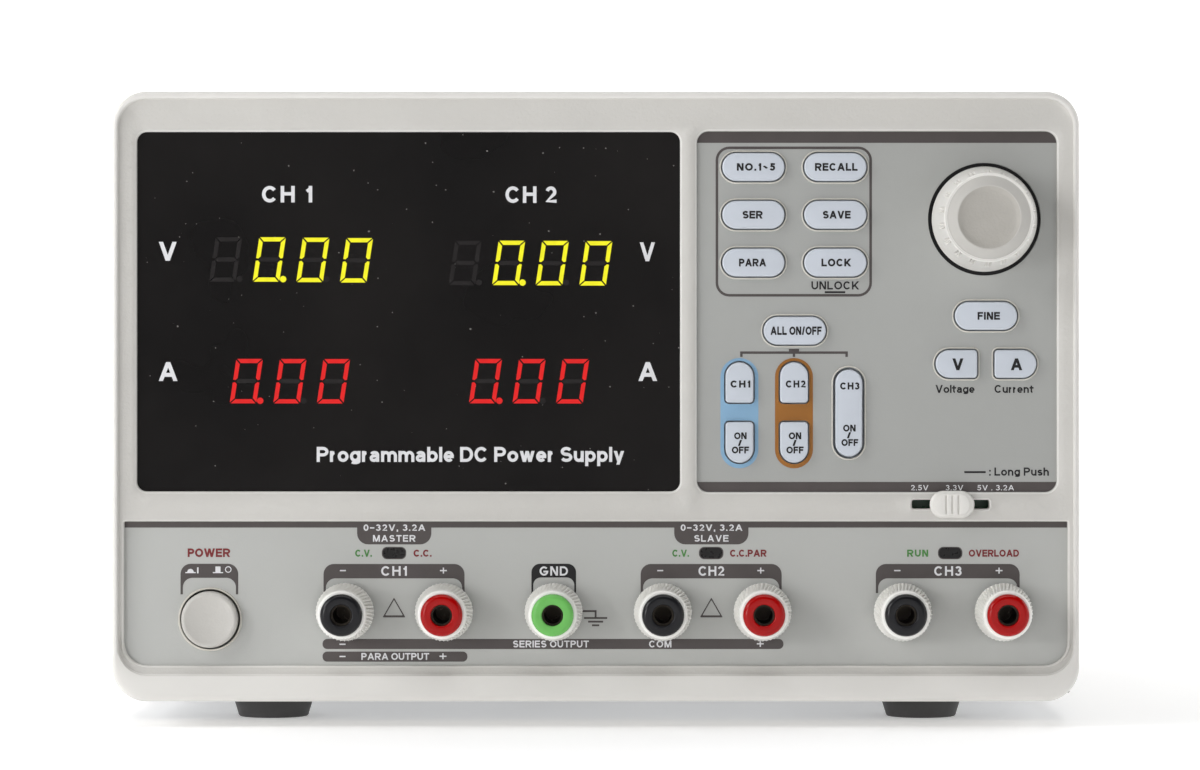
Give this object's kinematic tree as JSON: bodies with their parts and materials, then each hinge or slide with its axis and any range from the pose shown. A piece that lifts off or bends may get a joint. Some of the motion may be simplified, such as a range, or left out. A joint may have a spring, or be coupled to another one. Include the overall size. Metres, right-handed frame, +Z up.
{
  "type": "bench power supply",
  "caption": "Programmable direct-current bench supply with digit displays, key pad, encoder knob, and screw terminals that take 4 mm plugs.",
  "frame": {"origin": "on the table, under the middle of the case's outline", "axes": "+X to the right of someone facing the front panel, +Y from the front panel to the back, +Z up"},
  "size_m": [0.225, 0.275, 0.148],
  "materials": {
    "case_grey": "fine spark texture",
    "panel_grey": "matt printed overlay",
    "smoked_acrylic": "gloss",
    "smoked_lens": "gloss",
    "inner_plastic": "matt moulded",
    "brass": "nickel-plated look left bare",
    "steel": "zinc plated",
    "circuit_board": "solder mask",
    "display_block": "matt",
    "zinc_steel": "zinc plated sheet",
    "painted_steel": "fine textured paint",
    "foot_rubber": "matt",
    "lamination": "varnished laminations",
    "winding_tape": "tape",
    "capacitor_sleeve": "shrink sleeve",
    "black_aluminium": "black anodised",
    "knob_white": "satin moulded",
    "key_grey": "satin moulded",
    "insert_red": "gloss",
    "insert_black": "gloss",
    "insert_green": "gloss"
  },
  "bodies": {
    "case": {"front_bezel": "case_grey", "display_window": "smoked_acrylic", "control_panel": "panel_grey", "terminal_panel": "panel_grey", "indicator_lenses": "smoked_lens", "encoder": "inner_plastic", "power_switch": "inner_plastic", "binding_posts": "brass", "post_nuts": "steel", "front_board": "circuit_board", "digit_modules": "display_block", "chassis": "zinc_steel", "cover": "painted_steel", "rear_panel": "painted_steel", "feet": "foot_rubber", "case_screws": "steel", "transformer_core": "lamination", "transformer_windings": "winding_tape", "main_board": "circuit_board", "filter_capacitors": "capacitor_sleeve", "heat_sink": "black_aluminium", "fan_frame": "inner_plastic", "fan_guard": "steel", "mains_inlet": "inner_plastic", "usb_socket": "steel"},
    "encoder_knob": {"encoder_knob": "knob_white", "encoder_shaft": "steel"},
    "range_slider": {"range_slider": "knob_white"},
    "power_button": {"power_button": "knob_white"},
    "fan_rotor": {"fan_rotor": "inner_plastic"},
    "fuse_drawer": {"fuse_drawer": "inner_plastic"},
    "key_preset": {"key_preset": "key_grey"},
    "key_recall": {"key_recall": "key_grey"},
    "key_series": {"key_series": "key_grey"},
    "key_save": {"key_save": "key_grey"},
    "key_parallel": {"key_parallel": "key_grey"},
    "key_lock": {"key_lock": "key_grey"},
    "key_fine": {"key_fine": "key_grey"},
    "key_all_on": {"key_all_on": "key_grey"},
    "key_voltage": {"key_voltage": "key_grey"},
    "key_current": {"key_current": "key_grey"},
    "key_select_one": {"key_select_one": "key_grey"},
    "key_output_one": {"key_output_one": "key_grey"},
    "key_select_two": {"key_select_two": "key_grey"},
    "key_output_two": {"key_output_two": "key_grey"},
    "key_output_three": {"key_output_three": "key_grey"},
    "insert_one_minus": {"insert_one_minus": "insert_black"},
    "collar_one_minus": {"collar_one_minus": "knob_white"},
    "insert_one_plus": {"insert_one_plus": "insert_red"},
    "collar_one_plus": {"collar_one_plus": "knob_white"},
    "insert_ground": {"insert_ground": "insert_green"},
    "collar_ground": {"collar_ground": "knob_white"},
    "insert_two_minus": {"insert_two_minus": "insert_black"},
    "collar_two_minus": {"collar_two_minus": "knob_white"},
    "insert_two_plus": {"insert_two_plus": "insert_red"},
    "collar_two_plus": {"collar_two_plus": "knob_white"},
    "insert_three_minus": {"insert_three_minus": "insert_black"},
    "collar_three_minus": {"collar_three_minus": "knob_white"},
    "insert_three_plus": {"insert_three_plus": "insert_red"},
    "collar_three_plus": {"collar_three_plus": "knob_white"}
  },
  "joints": [
    {"name": "key_preset_press", "type": "slide", "parent": "case", "child": "key_preset", "axis": [0, 1, 0], "range_m": [0, 0.0008], "stiffness_N_per_m": 1500, "springref_m": -0.0006},
    {"name": "key_recall_press", "type": "slide", "parent": "case", "child": "key_recall", "axis": [0, 1, 0], "range_m": [0, 0.0008], "stiffness_N_per_m": 1500, "springref_m": -0.0006},
    {"name": "key_series_press", "type": "slide", "parent": "case", "child": "key_series", "axis": [0, 1, 0], "range_m": [0, 0.0008], "stiffness_N_per_m": 1500, "springref_m": -0.0006},
    {"name": "key_save_press", "type": "slide", "parent": "case", "child": "key_save", "axis": [0, 1, 0], "range_m": [0, 0.0008], "stiffness_N_per_m": 1500, "springref_m": -0.0006},
    {"name": "key_parallel_press", "type": "slide", "parent": "case", "child": "key_parallel", "axis": [0, 1, 0], "range_m": [0, 0.0008], "stiffness_N_per_m": 1500, "springref_m": -0.0006},
    {"name": "key_lock_press", "type": "slide", "parent": "case", "child": "key_lock", "axis": [0, 1, 0], "range_m": [0, 0.0008], "stiffness_N_per_m": 1500, "springref_m": -0.0006},
    {"name": "key_fine_press", "type": "slide", "parent": "case", "child": "key_fine", "axis": [0, 1, 0], "range_m": [0, 0.0008], "stiffness_N_per_m": 1500, "springref_m": -0.0006},
    {"name": "key_all_on_press", "type": "slide", "parent": "case", "child": "key_all_on", "axis": [0, 1, 0], "range_m": [0, 0.0008], "stiffness_N_per_m": 1500, "springref_m": -0.0006},
    {"name": "key_voltage_press", "type": "slide", "parent": "case", "child": "key_voltage", "axis": [0, 1, 0], "range_m": [0, 0.0008], "stiffness_N_per_m": 1500, "springref_m": -0.0006},
    {"name": "key_current_press", "type": "slide", "parent": "case", "child": "key_current", "axis": [0, 1, 0], "range_m": [0, 0.0008], "stiffness_N_per_m": 1500, "springref_m": -0.0006},
    {"name": "key_select_one_press", "type": "slide", "parent": "case", "child": "key_select_one", "axis": [0, 1, 0], "range_m": [0, 0.0008], "stiffness_N_per_m": 1500, "springref_m": -0.0006},
    {"name": "key_output_one_press", "type": "slide", "parent": "case", "child": "key_output_one", "axis": [0, 1, 0], "range_m": [0, 0.0008], "stiffness_N_per_m": 1500, "springref_m": -0.0006},
    {"name": "key_select_two_press", "type": "slide", "parent": "case", "child": "key_select_two", "axis": [0, 1, 0], "range_m": [0, 0.0008], "stiffness_N_per_m": 1500, "springref_m": -0.0006},
    {"name": "key_output_two_press", "type": "slide", "parent": "case", "child": "key_output_two", "axis": [0, 1, 0], "range_m": [0, 0.0008], "stiffness_N_per_m": 1500, "springref_m": -0.0006},
    {"name": "key_output_three_press", "type": "slide", "parent": "case", "child": "key_output_three", "axis": [0, 1, 0], "range_m": [0, 0.0008], "stiffness_N_per_m": 1500, "springref_m": -0.0006},
    {"name": "encoder_turn", "type": "hinge", "parent": "case", "child": "encoder_knob", "pos_m": [0.0905, -0.125, 0.11828], "axis": [0, 1, 0], "continuous": true},
    {"name": "range_slide", "type": "slide", "parent": "case", "child": "range_slider", "axis": [1, 0, 0], "range_m": [-0.004, 0.004]},
    {"name": "power_press", "type": "slide", "parent": "case", "child": "power_button", "axis": [0, -1, 0], "range_m": [-0.001, 0.004]},
    {"name": "post_one_minus_travel", "type": "slide", "parent": "case", "child": "insert_one_minus", "axis": [0, -1, 0], "range_m": [0, 0.003]},
    {"name": "post_one_minus_turn", "type": "hinge", "parent": "insert_one_minus", "child": "collar_one_minus", "pos_m": [-0.05835, -0.128, 0.02687], "axis": [0, -1, 0], "range_deg": [0, 1080]},
    {"name": "post_one_plus_travel", "type": "slide", "parent": "case", "child": "insert_one_plus", "axis": [0, -1, 0], "range_m": [0, 0.003]},
    {"name": "post_one_plus_turn", "type": "hinge", "parent": "insert_one_plus", "child": "collar_one_plus", "pos_m": [-0.0353, -0.128, 0.02687], "axis": [0, -1, 0], "range_deg": [0, 1080]},
    {"name": "post_ground_travel", "type": "slide", "parent": "case", "child": "insert_ground", "axis": [0, -1, 0], "range_m": [0, 0.003]},
    {"name": "post_ground_turn", "type": "hinge", "parent": "insert_ground", "child": "collar_ground", "pos_m": [-0.0098, -0.128, 0.02687], "axis": [0, -1, 0], "range_deg": [0, 1080]},
    {"name": "post_two_minus_travel", "type": "slide", "parent": "case", "child": "insert_two_minus", "axis": [0, -1, 0], "range_m": [0, 0.003]},
    {"name": "post_two_minus_turn", "type": "hinge", "parent": "insert_two_minus", "child": "collar_two_minus", "pos_m": [0.0156, -0.128, 0.02687], "axis": [0, -1, 0], "range_deg": [0, 1080]},
    {"name": "post_two_plus_travel", "type": "slide", "parent": "case", "child": "insert_two_plus", "axis": [0, -1, 0], "range_m": [0, 0.003]},
    {"name": "post_two_plus_turn", "type": "hinge", "parent": "insert_two_plus", "child": "collar_two_plus", "pos_m": [0.0388, -0.128, 0.02687], "axis": [0, -1, 0], "range_deg": [0, 1080]},
    {"name": "post_three_minus_travel", "type": "slide", "parent": "case", "child": "insert_three_minus", "axis": [0, -1, 0], "range_m": [0, 0.003]},
    {"name": "post_three_minus_turn", "type": "hinge", "parent": "insert_three_minus", "child": "collar_three_minus", "pos_m": [0.0714, -0.128, 0.02687], "axis": [0, -1, 0], "range_deg": [0, 1080]},
    {"name": "post_three_plus_travel", "type": "slide", "parent": "case", "child": "insert_three_plus", "axis": [0, -1, 0], "range_m": [0, 0.003]},
    {"name": "post_three_plus_turn", "type": "hinge", "parent": "insert_three_plus", "child": "collar_three_plus", "pos_m": [0.09485, -0.128, 0.02687], "axis": [0, -1, 0], "range_deg": [0, 1080]},
    {"name": "fan_spin", "type": "hinge", "parent": "case", "child": "fan_rotor", "pos_m": [0.055, 0.12, 0.088], "axis": [0, 1, 0], "continuous": true},
    {"name": "fuse_drawer_slide", "type": "slide", "parent": "case", "child": "fuse_drawer", "axis": [0, 1, 0], "range_m": [0, 0.017]}
  ],
  "couplings": [
    {"joint": "post_one_minus_turn", "follows": "post_one_minus_travel", "rad_per_m": 6283},
    {"joint": "post_one_plus_turn", "follows": "post_one_plus_travel", "rad_per_m": 6283},
    {"joint": "post_ground_turn", "follows": "post_ground_travel", "rad_per_m": 6283},
    {"joint": "post_two_minus_turn", "follows": "post_two_minus_travel", "rad_per_m": 6283},
    {"joint": "post_two_plus_turn", "follows": "post_two_plus_travel", "rad_per_m": 6283},
    {"joint": "post_three_minus_turn", "follows": "post_three_minus_travel", "rad_per_m": 6283},
    {"joint": "post_three_plus_turn", "follows": "post_three_plus_travel", "rad_per_m": 6283}
  ]
}
